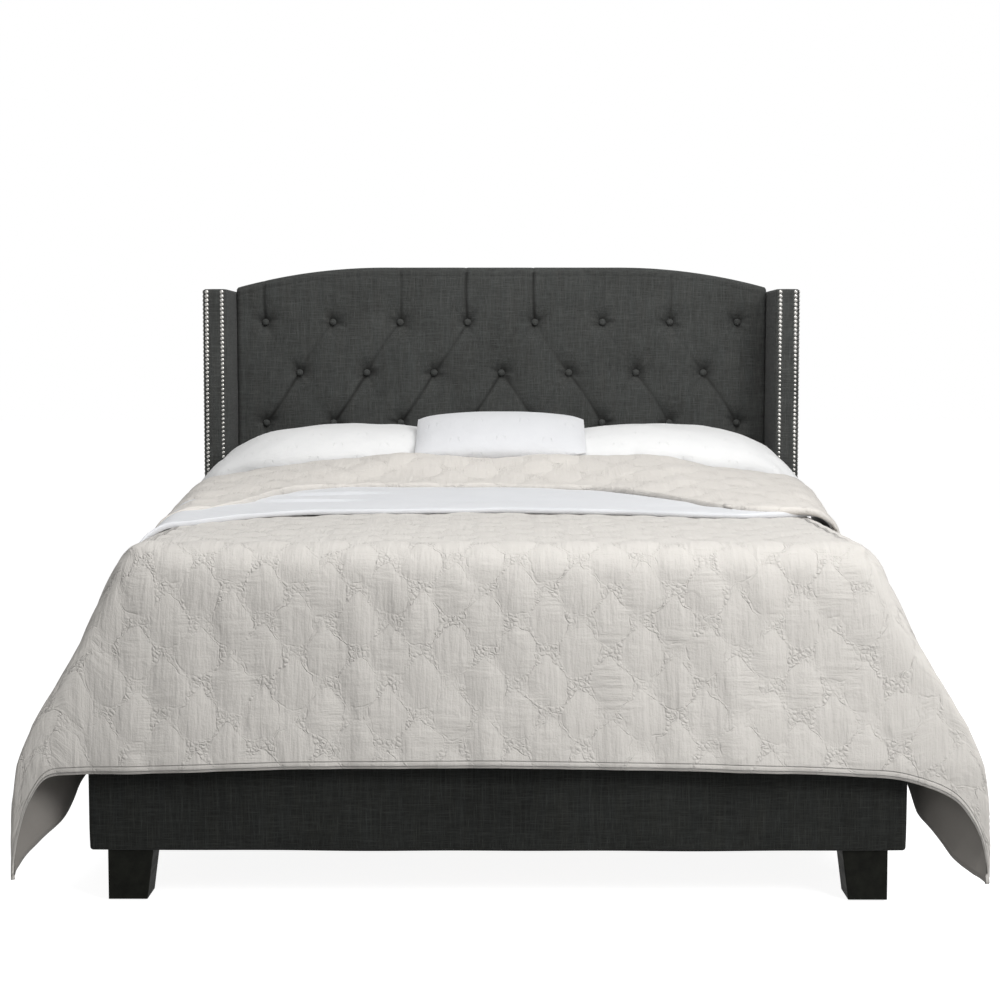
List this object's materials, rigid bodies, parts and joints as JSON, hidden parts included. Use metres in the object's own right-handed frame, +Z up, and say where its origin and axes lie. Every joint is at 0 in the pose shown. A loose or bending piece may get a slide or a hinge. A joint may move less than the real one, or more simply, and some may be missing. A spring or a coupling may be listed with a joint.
{
  "type": "upholstered wingback bed",
  "caption": "Upholstered bed with a buttoned arched headboard between nail-trimmed wings, low rails and tapered legs, dressed with a quilt, a folded sheet and pillows.",
  "frame": {"origin": "on the floor, midway along and across the dressed bed", "axes": "+Z up, +Y from the foot to the headboard, +X to the right seen from the foot"},
  "size_m": [1.878, 2.2386, 1.345],
  "materials": {
    "upholstery": "charcoal slubbed linen weave",
    "rail_fabric": "dark charcoal weave",
    "lining": "thin woven dust cloth",
    "foam": "upholstery foam, matte",
    "timber": "planed, unfinished",
    "leg_finish": "dark stained, satin",
    "nickel": "polished nickel",
    "zinc": "zinc plated",
    "black_plastic": "moulded, matte",
    "ticking": "woven ticking, matte",
    "quilt_cotton": "stitched washed cotton, matte",
    "sheet_cotton": "plain white cotton",
    "pillow_cotton": "white cotton, matte"
  },
  "bodies": {
    "bed": {"bracket_bolts": "zinc", "bracket_screws": "zinc", "centre_leg_1": "timber", "centre_leg_2": "timber", "centre_rail": "timber", "centre_rail_hangers": "zinc", "corner_block_left": "timber", "corner_block_right": "timber", "corner_bolts": "zinc", "foot_leg_left": "leg_finish", "foot_leg_right": "leg_finish", "foot_rail_board": "timber", "foot_rail_cover": "rail_fabric", "foot_rail_foam": "foam", "foundation_cover": "ticking", "foundation_frame": "timber", "head_bracket_left": "zinc", "head_bracket_right": "zinc", "head_leg_left": "leg_finish", "head_leg_right": "leg_finish", "headboard_back_cover": "lining", "headboard_board": "timber", "headboard_buttons": "upholstery", "headboard_cover": "upholstery", "headboard_cross_rails": "timber", "headboard_foam": "foam", "headboard_post_left": "timber", "headboard_post_right": "timber", "headboard_top_rail": "timber", "ledger_left": "timber", "ledger_right": "timber", "leg_bolts": "zinc", "leg_glides": "black_plastic", "leg_inserts": "zinc", "mattress": "ticking", "pillow_left": "pillow_cotton", "pillow_right": "pillow_cotton", "quilt": "quilt_cotton", "sheet_band": "sheet_cotton", "side_rail_cover_left": "rail_fabric", "side_rail_cover_right": "rail_fabric", "side_rail_left": "timber", "side_rail_right": "timber", "slats": "timber", "small_pillow": "pillow_cotton", "upper_quilt": "quilt_cotton", "wing_bolts": "zinc", "wing_cover_left": "upholstery", "wing_cover_right": "upholstery", "wing_foam_left": "foam", "wing_foam_right": "foam", "wing_frame_left": "timber", "wing_frame_right": "timber", "wing_nails_left": "nickel", "wing_nails_right": "nickel", "wood_screws": "zinc"},
    "pad_1": {"leveller_pad_1": "black_plastic"},
    "stem_1": {"leveller_stem_1": "zinc"},
    "pad_2": {"leveller_pad_2": "black_plastic"},
    "stem_2": {"leveller_stem_2": "zinc"}
  },
  "joints": [
    {"name": "pad_travel_1", "type": "slide", "parent": "bed", "child": "pad_1", "axis": [0, 0, 1], "range_m": [-0.008, 0.01]},
    {"name": "stem_spin_1", "type": "hinge", "parent": "pad_1", "child": "stem_1", "pos_m": [0, -0.35925, 0.013], "axis": [0, 0, 1], "range_deg": [-2305, 2881]},
    {"name": "pad_travel_2", "type": "slide", "parent": "bed", "child": "pad_2", "axis": [0, 0, 1], "range_m": [-0.008, 0.01]},
    {"name": "stem_spin_2", "type": "hinge", "parent": "pad_2", "child": "stem_2", "pos_m": [0, 0.32075, 0.013], "axis": [0, 0, 1], "range_deg": [-2305, 2881]}
  ],
  "couplings": [
    {"joint": "stem_spin_1", "follows": "pad_travel_1", "rad_per_m": 5026.5},
    {"joint": "stem_spin_2", "follows": "pad_travel_2", "rad_per_m": 5026.5}
  ]
}
